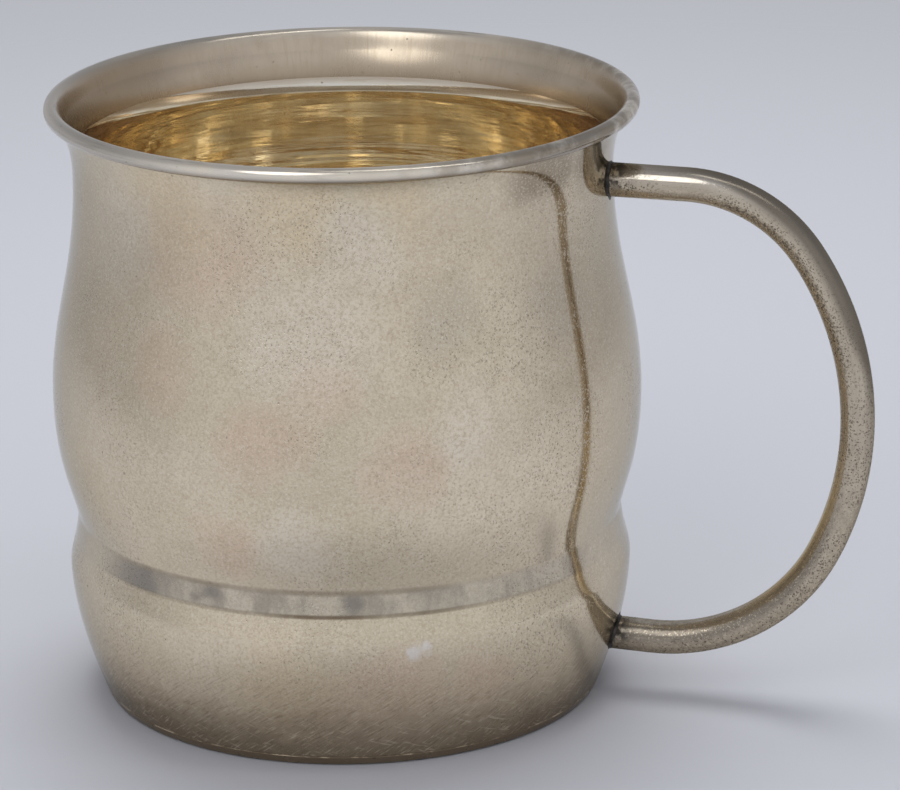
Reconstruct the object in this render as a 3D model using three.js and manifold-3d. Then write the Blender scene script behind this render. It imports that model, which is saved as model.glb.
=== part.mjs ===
// Baby cup: a spun silver mug, gilt inside, with a wire rim, a soldered base plate and a bent wire handle.
// Millimetres, +Z up. The base stands on the XY plane at the origin, and the handle points along +X.

import * as THREE from 'three';
import { mergeVertices } from 'three/addons/utils/BufferGeometryUtils.js';
import Module from 'manifold-3d';

// Body outline, from the foot up. The belly is the widest ring, and each other ring is set in from it.
// A rise is measured from the ring below.
const BELLY_RADIUS = 33.2;
const FOOT_SET_IN = 5;
const FOOT_LEAN_DEG = 21;
const BOWL_SET_IN = 1.3;
const BOWL_RISE = 15.1;
const BAND_FOOT_SET_IN = 2;
const BAND_FOOT_RISE = 3.2;
const BAND_FOOT_LEAN_DEG = 12;
const WAIST_SET_IN = 2.42;
const WAIST_RISE = 2.6;
const WAIST_LEAN_DEG = 13;
const BELLY_RISE = 13.9;
const NECK_SET_IN = 3.15;
const NECK_RISE = 25.4;
const LIP_RISE = 8.3;
const LIP_LEAN_DEG = 40;
const RIM_SET_IN = 0.2;

// Sheet, rim wire, base plate and gilding
const SHELL_WALL = 0.65;
const RIM_WIRE_DIAMETER = 1.7;
const PLATE_THICKNESS = 0.9;
const SEAM_THICKNESS = 0.2;
const GILT_THICKNESS = 0.15;
const SILVER_LIP_DEPTH = 5.4;

// Handle: one round wire, bent in the XZ plane. It stands out past the belly.
const HANDLE_STAND_OFF = 26.5;
const UPPER_JOINT_BELOW_RIM = 8.6;
const LOWER_JOINT_HEIGHT = 6.7;
const UPPER_WIRE_DIAMETER = 3.8;
const LOWER_WIRE_DIAMETER = 3.8;
const UPPER_LEAD_DROOP_DEG = 1.6;
const LOWER_LEAD_CLIMB_DEG = 3.4;
const UPPER_BEND_RADIUS = 16.8;
const UPPER_BEND_DEG = 55;
const LOWER_BEND_RADIUS = 20.5;
const LOWER_BEND_DEG = 67;

// Solder at the two handle joints, and the film of solder between neighbouring pieces
const FILLET_WIDTH = 0.6;
const FILLET_RISE = 0.8;
const COPE_GAP = 0.3;
const SOLDER_FILM = 0.1;

// Fineness of the facets
const TURN_SEGMENTS = 48;
const WIRE_SIDES = 14;
const WIRE_STEP = 3;
const RIM_ARC_STEPS = 10;

const wasm = await Module();
wasm.setup();

const radians = THREE.MathUtils.degToRad;

const footRadius = BELLY_RADIUS - FOOT_SET_IN;
const bowlRadius = BELLY_RADIUS - BOWL_SET_IN;
const bandFootRadius = BELLY_RADIUS - BAND_FOOT_SET_IN;
const waistRadius = BELLY_RADIUS - WAIST_SET_IN;
const neckRadius = BELLY_RADIUS - NECK_SET_IN;
const rimRadius = BELLY_RADIUS - RIM_SET_IN;
const handleReach = BELLY_RADIUS + HANDLE_STAND_OFF;

const bowlHeight = BOWL_RISE;
const bandFootHeight = bowlHeight + BAND_FOOT_RISE;
const waistHeight = bandFootHeight + WAIST_RISE;
const bellyHeight = waistHeight + BELLY_RISE;
const neckHeight = bellyHeight + NECK_RISE;
const cupHeight = neckHeight + LIP_RISE;
const seamTop = PLATE_THICKNESS + SEAM_THICKNESS;

// Outline points are 2-D: x is the radius and y the height. A lean is measured from upright, outwards.
const leaning = (degrees) => new THREE.Vector2(Math.sin(radians(degrees)), Math.cos(radians(degrees)));

// The rim wire sits on the lip's end, on a flat that is as wide as the sheet.
const rimWireRadius = RIM_WIRE_DIAMETER / 2;
const rimCentre = new THREE.Vector2(rimRadius - rimWireRadius, cupHeight - rimWireRadius);
const rimSeatHalfAngle = Math.asin(SHELL_WALL / RIM_WIRE_DIAMETER);
const lipLean = leaning(LIP_LEAN_DEG);
const lipOutward = new THREE.Vector2(lipLean.y, -lipLean.x);
const lipEnd = rimCentre.clone()
  .addScaledVector(lipLean, -rimWireRadius * Math.cos(rimSeatHalfAngle))
  .addScaledVector(lipOutward, SHELL_WALL / 2);

// Curved stretches of the outline: each end has a lean, and a pull as a share of the stretch's length.
const footRing = { point: new THREE.Vector2(footRadius, 0), lean: FOOT_LEAN_DEG };
const bowlRing = { point: new THREE.Vector2(bowlRadius, bowlHeight), lean: 0 };
const bandFootRing = { point: new THREE.Vector2(bandFootRadius, bandFootHeight), lean: -BAND_FOOT_LEAN_DEG };
const waistRing = { point: new THREE.Vector2(waistRadius, waistHeight), lean: WAIST_LEAN_DEG };
const bellyRing = { point: new THREE.Vector2(BELLY_RADIUS, bellyHeight), lean: 0 };
const neckRing = { point: new THREE.Vector2(neckRadius, neckHeight), lean: 0 };
const lipRing = { point: lipEnd, lean: LIP_LEAN_DEG };
const stretches = [
  { from: footRing, to: bowlRing, pulls: [0.22, 0.37], steps: 6 },
  { from: bowlRing, to: bandFootRing, pulls: [0.2, 0.35], steps: 3 },
  { from: waistRing, to: bellyRing, pulls: [0.3, 0.52], steps: 5 },
  { from: bellyRing, to: neckRing, pulls: [0.36, 0.43], steps: 6 },
  { from: neckRing, to: lipRing, pulls: [0.4, 0.3], steps: 5 },
];

function stretchPoints({ from, to, pulls, steps }) {
  const length = from.point.distanceTo(to.point);
  const curve = new THREE.CubicBezierCurve(
    from.point,
    from.point.clone().addScaledVector(leaning(from.lean), pulls[0] * length),
    to.point.clone().addScaledVector(leaning(to.lean), -pulls[1] * length),
    to.point,
  );
  return curve.getPoints(steps);
}

// The outline of the cup's outside, from the table to the rim wire. The waist band is its straight stretch.
const outline = stretches
  .flatMap(stretchPoints)
  .filter((point, index, all) => index === 0 || point.distanceTo(all[index - 1]) > 0);

// Moves an outline sideways by a distance, outwards if positive, with mitred corners.
function offsetOutline(points, distance) {
  return points.map((point, index) => {
    const before = points[Math.max(index - 1, 0)];
    const after = points[Math.min(index + 1, points.length - 1)];
    const sides = [[before, point], [point, after]]
      .filter(([a, b]) => a.distanceTo(b) > 0)
      .map(([a, b]) => b.clone().sub(a).normalize())
      .map((along) => new THREE.Vector2(along.y, -along.x));
    const normal = sides.reduce((sum, side) => sum.clone().add(side)).normalize();
    return point.clone().addScaledVector(normal, distance / normal.dot(sides[0]));
  });
}

// Where an outline crosses a height.
function pointAtHeight(points, height) {
  const index = points.findIndex((point) => point.y >= height);
  const below = points[Math.max(index - 1, 0)];
  const above = points[index];
  const share = above.y === below.y ? 0 : (height - below.y) / (above.y - below.y);
  return below.clone().lerp(above, share);
}

// The stretch of an outline between two heights, with a point on each of them.
function cropOutline(points, low, high) {
  const between = points.filter((point) => point.y > low && point.y < high);
  return [pointAtHeight(points, low), ...between, pointAtHeight(points, high)];
}

// Turns an outline about the cup's axis. It starts and ends on the axis, or closes on itself.
function turned(points) {
  return new THREE.LatheGeometry(points, TURN_SEGMENTS).rotateX(Math.PI / 2);
}

function closed(points) {
  return [...points, points[0]];
}

// The sheet keeps its thickness all the way up, and ends square where it meets the rim wire.
const innerOutline = offsetOutline(outline, -SHELL_WALL);
const shellOutside = cropOutline(outline, seamTop, lipEnd.y);
const lipInside = innerOutline.at(-1);
const shellInside = cropOutline(innerOutline, seamTop, lipInside.y);

function bodyShell() {
  return turned(closed([...shellOutside, ...shellInside.toReversed()]));
}

// A full round ring but for the flat that it sits on.
function rimWire() {
  const seatAngle = Math.atan2(-lipLean.y, -lipLean.x);
  const arc = Array.from({ length: RIM_ARC_STEPS - 1 }, (_, index) => {
    const sweep = 2 * (Math.PI - rimSeatHalfAngle) * ((index + 1) / RIM_ARC_STEPS);
    const angle = seatAngle + rimSeatHalfAngle + sweep;
    return rimCentre.clone().add(new THREE.Vector2(Math.cos(angle), Math.sin(angle)).multiplyScalar(rimWireRadius));
  });
  return turned(closed([lipEnd, ...arc, lipInside]));
}

// The plate's edge carries on the line of the wall down to the table.
function basePlate() {
  const edge = cropOutline(outline, 0, PLATE_THICKNESS);
  return turned([new THREE.Vector2(0, 0), ...edge, new THREE.Vector2(0, PLATE_THICKNESS)]);
}

// A flat ring of solder between the plate and the wall's lower edge.
function baseSolderSeam() {
  const outside = cropOutline(outline, PLATE_THICKNESS, seamTop);
  const inside = cropOutline(innerOutline, PLATE_THICKNESS, seamTop);
  return turned(closed([...outside, ...inside.toReversed()]));
}

// The gilding lies on the plate and on the wall's inside, up to a line below the rim.
function giltLining() {
  const wall = cropOutline(innerOutline, PLATE_THICKNESS, cupHeight - SILVER_LIP_DEPTH);
  const backed = [new THREE.Vector2(0, PLATE_THICKNESS), ...wall];
  const open = offsetOutline(backed, -GILT_THICKNESS);
  return turned([...backed, ...open.toReversed()]);
}

// Closed solids for cutting, and the meshes that come back from them.
function toSolid(geometry) {
  const bare = geometry.clone();
  bare.deleteAttribute('normal');
  bare.deleteAttribute('uv');
  const merged = mergeVertices(bare);
  return new wasm.Manifold(new wasm.Mesh({
    numProp: 3,
    vertProperties: new Float32Array(merged.attributes.position.array),
    triVerts: new Uint32Array(merged.index.array),
  }));
}

function toGeometry(solid) {
  const mesh = solid.getMesh();
  const geometry = new THREE.BufferGeometry();
  geometry.setAttribute('position', new THREE.BufferAttribute(mesh.vertProperties, 3));
  geometry.setIndex(new THREE.BufferAttribute(mesh.triVerts, 1));
  geometry.computeVertexNormals();
  return geometry;
}

// The cup's outside, grown by a margin, as a thick ring that what meets the wall is coped to.
function wallCutter(margin) {
  const outside = offsetOutline(outline, margin);
  const core = neckRadius / 2;
  const inside = [new THREE.Vector2(core, outside.at(-1).y), new THREE.Vector2(core, outside[0].y)];
  return toSolid(turned(closed([...outside, ...inside])));
}

// The handle's centreline: a lead, three bends that run into each other, and a lead back to the wall.
// The heading is measured up from +X. The bends turn it down, round and back to the cup.
const upperJoint = pointAtHeight(outline, cupHeight - UPPER_JOINT_BELOW_RIM);
const lowerJoint = pointAtHeight(outline, LOWER_JOINT_HEIGHT);
const headings = {
  start: -radians(UPPER_LEAD_DROOP_DEG),
  upper: -radians(UPPER_LEAD_DROOP_DEG + UPPER_BEND_DEG),
  lower: -radians(180 + LOWER_LEAD_CLIMB_DEG - LOWER_BEND_DEG),
  end: -radians(180 + LOWER_LEAD_CLIMB_DEG),
};
const downward = -Math.PI / 2;

// How far a bend of unit radius carries the wire, from one heading to the next.
const bendAcross = (from, to) => Math.sin(from) - Math.sin(to);
const bendUp = (from, to) => Math.cos(to) - Math.cos(from);

// The two leads and the middle bend's radius follow from the reach and the two joints: three equations.
function solveHandle() {
  const { start, upper, lower, end } = headings;
  const farSide = handleReach - (UPPER_WIRE_DIAMETER + LOWER_WIRE_DIAMETER) / 4;
  const equations = new THREE.Matrix3(
    Math.cos(start), bendAcross(upper, downward), 0,
    0, bendAcross(downward, lower), Math.cos(end),
    Math.sin(start), bendUp(upper, lower), Math.sin(end),
  );
  const totals = new THREE.Vector3(
    farSide - upperJoint.x - UPPER_BEND_RADIUS * bendAcross(start, upper),
    lowerJoint.x - farSide - LOWER_BEND_RADIUS * bendAcross(lower, end),
    lowerJoint.y - upperJoint.y - UPPER_BEND_RADIUS * bendUp(start, upper) - LOWER_BEND_RADIUS * bendUp(lower, end),
  );
  const [upperLead, middleRadius, lowerLead] = totals.applyMatrix3(equations.invert()).toArray();
  return { upperLead, middleRadius, lowerLead };
}

// The wire runs on into the wall at both ends, so that the cut there leaves a coped end.
const wireRunOn = UPPER_WIRE_DIAMETER;

function handleStations() {
  const { start, upper, lower, end } = headings;
  const { upperLead, middleRadius, lowerLead } = solveHandle();
  const runs = [
    { length: wireRunOn + upperLead, turn: 0 },
    { length: UPPER_BEND_RADIUS * (start - upper), turn: upper - start },
    { length: middleRadius * (upper - lower), turn: lower - upper },
    { length: LOWER_BEND_RADIUS * (lower - end), turn: end - lower },
    { length: lowerLead + wireRunOn, turn: 0 },
  ];
  let heading = start;
  const place = new THREE.Vector3(upperJoint.x, 0, upperJoint.y);
  place.addScaledVector(new THREE.Vector3(Math.cos(start), 0, Math.sin(start)), -wireRunOn);
  const stations = [{ place: place.clone(), heading }];
  for (const { length, turn } of runs) {
    const steps = Math.ceil(length / WIRE_STEP);
    const halfTurn = turn / steps / 2;
    const chord = (length / steps) * (halfTurn === 0 ? 1 : Math.sin(halfTurn) / halfTurn);
    for (let step = 0; step < steps; step += 1) {
      heading += halfTurn;
      place.addScaledVector(new THREE.Vector3(Math.cos(heading), 0, Math.sin(heading)), chord);
      heading += halfTurn;
      stations.push({ place: place.clone(), heading });
    }
  }
  return stations;
}

// A round wire along the stations, grown by a margin, whose radius changes evenly from end to end.
function taperedWire(margin) {
  const stations = handleStations();
  const last = stations.length - 1;
  const positions = [];
  const indices = [];
  stations.forEach(({ place, heading }, index) => {
    const diameter = THREE.MathUtils.lerp(UPPER_WIRE_DIAMETER, LOWER_WIRE_DIAMETER, index / last);
    const inPlane = new THREE.Vector3(-Math.sin(heading), 0, Math.cos(heading));
    const across = new THREE.Vector3(0, -1, 0);
    for (let side = 0; side < WIRE_SIDES; side += 1) {
      const angle = (2 * Math.PI * (side + 0.5)) / WIRE_SIDES;
      const point = place.clone()
        .addScaledVector(inPlane, (diameter / 2 + margin) * Math.cos(angle))
        .addScaledVector(across, (diameter / 2 + margin) * Math.sin(angle));
      positions.push(...point.toArray());
    }
  });
  const startCentre = positions.length / 3;
  positions.push(...stations[0].place.toArray(), ...stations[last].place.toArray());
  for (let side = 0; side < WIRE_SIDES; side += 1) {
    const next = (side + 1) % WIRE_SIDES;
    for (let ring = 0; ring < last; ring += 1) {
      const [a, b] = [ring * WIRE_SIDES + side, ring * WIRE_SIDES + next];
      const [c, d] = [b + WIRE_SIDES, a + WIRE_SIDES];
      indices.push(a, b, c, a, c, d);
    }
    indices.push(startCentre, next, side);
    indices.push(startCentre + 1, last * WIRE_SIDES + side, last * WIRE_SIDES + next);
  }
  const geometry = new THREE.BufferGeometry();
  geometry.setAttribute('position', new THREE.Float32BufferAttribute(positions, 3));
  geometry.setIndex(indices);
  return toSolid(geometry);
}

function handle() {
  return toGeometry(taperedWire(0).subtract(wallCutter(COPE_GAP)));
}

// A collar of solder around each end of the wire, on the wall. A tall block parts the upper from the lower.
function solderFillet(isUpper) {
  const collars = taperedWire(FILLET_WIDTH)
    .intersect(wallCutter(FILLET_RISE))
    .subtract(wallCutter(SOLDER_FILM))
    .subtract(taperedWire(SOLDER_FILM));
  const upperHalf = new THREE.BoxGeometry(2 * handleReach, 2 * handleReach, cupHeight);
  upperHalf.translate(0, 0, (upperJoint.y + lowerJoint.y + cupHeight) / 2);
  return toGeometry(isUpper ? collars.intersect(toSolid(upperHalf)) : collars.subtract(toSolid(upperHalf)));
}

// Materials
const silver = { color: 0xc2b6a3, roughness: 0.18, metalness: 1 };
const wornSilver = { color: 0xb3a692, roughness: 0.24, metalness: 1 };
const gilt = { color: 0xc9a04c, roughness: 0.22, metalness: 1 };
const oxidisedSolder = { color: 0x4c4439, roughness: 0.6, metalness: 1 };

const cup = new THREE.Group();
cup.name = 'baby_cup';

function addPiece(name, geometry, finish) {
  const piece = new THREE.Mesh(geometry, new THREE.MeshStandardMaterial(finish));
  piece.name = name;
  cup.add(piece);
}

addPiece('body_shell', bodyShell(), silver);
addPiece('rim_wire', rimWire(), silver);
addPiece('base_plate', basePlate(), wornSilver);
addPiece('base_solder_seam', baseSolderSeam(), oxidisedSolder);
addPiece('gilt_lining', giltLining(), gilt);
addPiece('handle', handle(), wornSilver);
addPiece('upper_solder_fillet', solderFillet(true), oxidisedSolder);
addPiece('lower_solder_fillet', solderFillet(false), oxidisedSolder);

export default cup;
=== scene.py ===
# Baby cup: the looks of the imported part
# Metres, +Z up, the handle towards +X, the base on the floor at z = 0

import math

import bpy
from mathutils import Matrix, Vector, noise


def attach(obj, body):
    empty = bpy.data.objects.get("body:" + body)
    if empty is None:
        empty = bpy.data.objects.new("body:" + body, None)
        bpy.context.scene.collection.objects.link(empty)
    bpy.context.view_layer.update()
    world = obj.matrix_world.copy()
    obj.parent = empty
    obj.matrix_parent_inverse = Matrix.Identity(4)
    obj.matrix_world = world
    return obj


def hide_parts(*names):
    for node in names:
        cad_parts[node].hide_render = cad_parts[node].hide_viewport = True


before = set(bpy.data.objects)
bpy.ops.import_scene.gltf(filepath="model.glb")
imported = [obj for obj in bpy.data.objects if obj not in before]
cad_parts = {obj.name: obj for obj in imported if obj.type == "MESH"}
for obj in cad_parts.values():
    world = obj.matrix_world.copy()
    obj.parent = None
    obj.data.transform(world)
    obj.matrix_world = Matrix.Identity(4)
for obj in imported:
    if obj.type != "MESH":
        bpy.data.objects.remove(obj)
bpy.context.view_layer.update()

MM = 0.001

# Body outline in millimetres, as in the part's source: the belly's radius, how far the other rings are
# set in from it, and how far each ring rises above the one below
BELLY_RADIUS = 33.2
FOOT_SET_IN = 5.0
FOOT_LEAN_DEG = 21
BOWL_SET_IN = 1.3
BOWL_RISE = 15.1
BAND_FOOT_SET_IN = 2.0
BAND_FOOT_RISE = 3.2
BAND_FOOT_LEAN_DEG = 12
WAIST_SET_IN = 2.42
WAIST_RISE = 2.6
WAIST_LEAN_DEG = 13
BELLY_RISE = 13.9
NECK_SET_IN = 3.15
NECK_RISE = 25.4
LIP_RISE = 8.3
LIP_LEAN_DEG = 40
RIM_SET_IN = 0.2

# Pulls of the outline's curves at their two ends, as shares of their length, and their steps
BOWL_PULLS = (0.22, 0.37)
BOWL_STEPS = 26
BAND_FOOT_PULLS = (0.2, 0.35)
BAND_FOOT_STEPS = 10
BAND_STEPS = 5
BELLY_PULLS = (0.3, 0.52)
BELLY_STEPS = 22
NECK_PULLS = (0.36, 0.43)
NECK_STEPS = 32
LIP_PULLS = (0.4, 0.3)
LIP_STEPS = 18

# Sheet, rim wire, base plate and gilding
SHELL_WALL = 0.65
RIM_WIRE_DIAMETER = 1.7
PLATE_THICKNESS = 0.9
SEAM_THICKNESS = 0.2
GILT_THICKNESS = 0.15
GILT_EDGE_THICKNESS = 0.03
GILT_EDGE_LENGTH = 2.0
SILVER_LIP_DEPTH = 5.4
CREASE_REACH = 0.35
RIM_BLEND_ANGLE_DEG = 125
RIM_BLEND_LENGTH = 2.0
RIM_BLEND_PULLS = (0.35, 0.45)
RIM_SEAT_OVERLAP = 0.02
PLATE_EDGE_ROUND = 0.25
SEAM_HOLLOW = 0.06
FLOOR_CORNER_ROUND = 1.2

# Handle, and the search for where its ends meet the wall
HANDLE_STAND_OFF = 26.5
UPPER_JOINT_BELOW_RIM = 8.6
LOWER_JOINT_HEIGHT = 6.7
WIRE_DIAMETER = 3.8
UPPER_LEAD_DROOP_DEG = 1.6
LOWER_LEAD_CLIMB_DEG = 3.4
UPPER_BEND_RADIUS = 16.8
UPPER_BEND_DEG = 55
LOWER_BEND_RADIUS = 20.5
LOWER_BEND_DEG = 67
COPE_GAP = 0.03
END_CLEARANCE = 2.4
WALL_SEARCH_REACH = 6.0
WALL_SEARCH_HALVINGS = 40

# Solder beads at the handle's two ends: their spread on the wall, their climb on the wire, and their shape
BEAD_SPREAD = 0.17
BEAD_CLIMB = 0.32
BEAD_UNEVENNESS = 0.6
BEAD_LUMPS = 2
BEAD_POINT = 2.6
BEAD_POINT_SHARPNESS = 8
BEAD_HOLLOW = 0.22
BEAD_ROOT_DEPTH = 0.12
BEAD_LIFT = 0.01
UPPER_BEAD_SEED = 3.7
LOWER_BEAD_SEED = 8.2

# Fineness of the meshes
TURN_SEGMENTS = 160
WIRE_SIDES = 40
WIRE_STEP = 0.8
CREASE_STEPS = 6
RIM_ARC_STEPS = 30
RIM_BLEND_STEPS = 12
PLATE_EDGE_STEPS = 5
FLOOR_CORNER_STEPS = 8
BEAD_STEPS = 6
PLATE_RINGS = (0.2, 0.4, 0.6, 0.8, 0.95)
GILT_FLOOR_RINGS = (0.0, 0.15, 0.3, 0.5, 0.7, 0.85)
SHARP_EDGE_DEG = 35
ON_AXIS = 1e-6

# Middle of the handle's loop
LOOP_MIDDLE_X = 34.0
LOOP_MIDDLE_Z = 33.0

# Directions on the cup: its front, and the right of its front
FRONT = (0.22, -0.97, 0.0)
FRONT_RIGHT = (0.97, 0.22, 0.0)

# Camera, fitted to the photograph's rim, foot and outline: millimetres and degrees
CAMERA_AZIMUTH_DEG = 13.0
CAMERA_ELEVATION_DEG = 17.8
CAMERA_DISTANCE = 499.33
CAMERA_TARGET_HEIGHT = 34.25
CAMERA_PAN_DEG = -1.325
CAMERA_TILT_DEG = -0.122
CAMERA_ROLL_DEG = 1.156
CAMERA_LENS = 176.58
SENSOR_WIDTH = 36.0
CLIP_START = 0.01

foot_radius = BELLY_RADIUS - FOOT_SET_IN
bowl_radius = BELLY_RADIUS - BOWL_SET_IN
band_foot_radius = BELLY_RADIUS - BAND_FOOT_SET_IN
waist_radius = BELLY_RADIUS - WAIST_SET_IN
neck_radius = BELLY_RADIUS - NECK_SET_IN
rim_radius = BELLY_RADIUS - RIM_SET_IN
handle_reach = BELLY_RADIUS + HANDLE_STAND_OFF

bowl_height = BOWL_RISE
band_foot_height = bowl_height + BAND_FOOT_RISE
waist_height = band_foot_height + WAIST_RISE
belly_height = waist_height + BELLY_RISE
neck_height = belly_height + NECK_RISE
cup_height = neck_height + LIP_RISE
seam_top = PLATE_THICKNESS + SEAM_THICKNESS
gilt_top = cup_height - SILVER_LIP_DEPTH
wire_radius = WIRE_DIAMETER / 2


# Outlines: 2-D points of radius and height
def leaning(degrees):
    return Vector((math.sin(math.radians(degrees)), math.cos(math.radians(degrees))))


def cubic(start, first_pull, last_pull, end, steps):
    points = []
    for step in range(steps + 1):
        t = step / steps
        u = 1 - t
        pulled = first_pull * (3 * u * u * t) + last_pull * (3 * u * t * t)
        points.append(start * u**3 + pulled + end * t**3)
    return points


def quadratic(start, corner, end, steps):
    points = []
    for step in range(steps + 1):
        t = step / steps
        points.append(start * (1 - t) ** 2 + corner * (2 * t * (1 - t)) + end * t**2)
    return points


def curve_between(start, start_lean, end, end_lean, pulls, steps):
    length = (end - start).length
    first_pull = start + leaning(start_lean) * (pulls[0] * length)
    last_pull = end - leaning(end_lean) * (pulls[1] * length)
    return cubic(start, first_pull, last_pull, end, steps)


def rounded(points, corner, reach, steps):
    """Puts a short curve in place of an outline's corner, which starts and ends at the reach from it."""
    before = [p for p in points if p.y < corner.y and (p - corner).length > reach]
    after = [p for p in points if p.y > corner.y and (p - corner).length > reach]
    start = corner + (before[-1] - corner).normalized() * reach
    end = corner + (after[0] - corner).normalized() * reach
    return before + quadratic(start, corner, end, steps) + after


def offset(points, distance):
    """Moves an outline sideways, outwards if positive."""
    moved = []
    for index, point in enumerate(points):
        before = points[max(index - 1, 0)]
        after = points[min(index + 1, len(points) - 1)]
        along = (after - before).normalized()
        moved.append(point + Vector((along.y, -along.x)) * distance)
    return moved


def point_at(points, height):
    for below, above in zip(points, points[1:]):
        if below.y <= height <= above.y:
            share = (height - below.y) / (above.y - below.y)
            return below.lerp(above, share)
    return points[0].copy() if height < points[0].y else points[-1].copy()


def cropped(points, low, high):
    between = [p for p in points if low < p.y < high]
    return [point_at(points, low)] + between + [point_at(points, high)]


rim_wire_radius = RIM_WIRE_DIAMETER / 2
rim_centre = Vector((rim_radius - rim_wire_radius, cup_height - rim_wire_radius))
rim_seat_half_angle = math.asin(SHELL_WALL / RIM_WIRE_DIAMETER)
lip_lean = leaning(LIP_LEAN_DEG)
lip_outward = Vector((lip_lean.y, -lip_lean.x))
lip_middle = rim_centre - lip_lean * (rim_wire_radius * math.cos(rim_seat_half_angle))
lip_end = lip_middle + lip_outward * (SHELL_WALL / 2)

foot = Vector((foot_radius, 0))
bowl = Vector((bowl_radius, bowl_height))
band_foot = Vector((band_foot_radius, band_foot_height))
waist = Vector((waist_radius, waist_height))
belly = Vector((BELLY_RADIUS, belly_height))
neck = Vector((neck_radius, neck_height))

outline = curve_between(foot, FOOT_LEAN_DEG, bowl, 0, BOWL_PULLS, BOWL_STEPS)
outline += curve_between(bowl, 0, band_foot, -BAND_FOOT_LEAN_DEG, BAND_FOOT_PULLS, BAND_FOOT_STEPS)[1:]
outline += [band_foot.lerp(waist, (step + 1) / BAND_STEPS) for step in range(BAND_STEPS)]
outline += curve_between(waist, WAIST_LEAN_DEG, belly, 0, BELLY_PULLS, BELLY_STEPS)[1:]
outline += curve_between(belly, 0, neck, 0, NECK_PULLS, NECK_STEPS)[1:]
outline += curve_between(neck, 0, lip_end, LIP_LEAN_DEG, LIP_PULLS, LIP_STEPS)[1:]
outline = rounded(outline, waist, CREASE_REACH, CREASE_STEPS)
outline = rounded(outline, band_foot, CREASE_REACH, CREASE_STEPS)
inner_outline = offset(outline, -SHELL_WALL)


def wall_radius(height):
    return point_at(outline, height).x


# Meshes
def make_piece(name, vertices, faces, node, slot):
    """A smooth mesh from points in millimetres, in place of a CAD node."""
    mesh = bpy.data.meshes.new(name)
    mesh.from_pydata([Vector(v) * MM for v in vertices], [], faces)
    mesh.validate()
    mesh.update()
    mesh.shade_smooth()
    mesh.set_sharp_from_angle(angle=math.radians(SHARP_EDGE_DEG))
    piece = bpy.data.objects.new(name, mesh)
    bpy.context.scene.collection.objects.link(piece)
    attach(piece, "root")
    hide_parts(node)
    return piece


def turned(points, closed):
    """Turns an outline about the axis: a closed loop, or a line that starts and ends on the axis."""
    vertices = []
    faces = []
    rings = []
    for point in points:
        if point.x < ON_AXIS:
            rings.append([len(vertices)])
            vertices.append((0, 0, point.y))
            continue
        ring = []
        for turn in range(TURN_SEGMENTS):
            angle = 2 * math.pi * turn / TURN_SEGMENTS
            ring.append(len(vertices))
            vertices.append((point.x * math.cos(angle), point.x * math.sin(angle), point.y))
        rings.append(ring)
    pairs = list(zip(rings, rings[1:]))
    if closed:
        pairs.append((rings[-1], rings[0]))
    for lower, upper in pairs:
        for turn in range(TURN_SEGMENTS):
            after = (turn + 1) % TURN_SEGMENTS
            if len(lower) == 1:
                faces.append((lower[0], upper[after], upper[turn]))
            elif len(upper) == 1:
                faces.append((lower[turn], lower[after], upper[0]))
            else:
                faces.append((lower[turn], lower[after], upper[after], upper[turn]))
    return vertices, faces


# Body shell: outside up, inside down
shell_outside = cropped(outline, seam_top, lip_end.y)
lip_inside = inner_outline[-1]
shell_inside = cropped(inner_outline, seam_top, lip_inside.y)
body_shell = make_piece(
    "cup_body_shell", *turned(shell_outside + shell_inside[::-1], closed=True), "body_shell", "silver"
)
inside_faces_start = len(shell_outside) * TURN_SEGMENTS

# Rim wire: round on its outside and top, and worked smoothly into the lip on its inside
seat_angle = math.atan2(-lip_lean.y, -lip_lean.x)
arc_start = seat_angle + rim_seat_half_angle
arc_end = math.radians(RIM_BLEND_ANGLE_DEG)
rim_points = [lip_end]
for step in range(1, RIM_ARC_STEPS + 1):
    angle = arc_start + (arc_end - arc_start) * step / RIM_ARC_STEPS
    rim_points.append(rim_centre + Vector((math.cos(angle), math.sin(angle))) * rim_wire_radius)
blend_start = rim_points[-1]
blend_end = point_at(inner_outline, lip_inside.y - RIM_BLEND_LENGTH * lip_lean.y)
arc_heading = Vector((-math.sin(arc_end), math.cos(arc_end)))
lip_heading = (lip_inside - blend_end).normalized()
blend_start_pull = blend_start + arc_heading * (RIM_BLEND_PULLS[0] * RIM_BLEND_LENGTH)
blend_end_pull = blend_end + lip_heading * (RIM_BLEND_PULLS[1] * RIM_BLEND_LENGTH)
rim_points += cubic(blend_start, blend_start_pull, blend_end_pull, blend_end, RIM_BLEND_STEPS)[1:]
rim_points.append(lip_inside + lip_outward * RIM_SEAT_OVERLAP)
rim_wire = make_piece("cup_rim_wire", *turned(rim_points, closed=True), "rim_wire", "rim_silver")

# Base plate, with its lower edge rubbed round
plate_foot = point_at(outline, 0)
plate_shoulder = point_at(outline, PLATE_THICKNESS)
plate_low_centre = Vector((0, 0))
plate_high_centre = Vector((0, PLATE_THICKNESS))
edge_start = plate_foot + (plate_low_centre - plate_foot).normalized() * PLATE_EDGE_ROUND
edge_end = plate_foot + (plate_shoulder - plate_foot).normalized() * PLATE_EDGE_ROUND
plate_points = [plate_low_centre]
plate_points += [Vector((foot_radius * share, 0)) for share in PLATE_RINGS]
plate_points += quadratic(edge_start, plate_foot, edge_end, PLATE_EDGE_STEPS)
plate_points += [plate_shoulder, plate_high_centre]
base_plate = make_piece("cup_base_plate", *turned(plate_points, closed=False), "base_plate", "base_silver")

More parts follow.
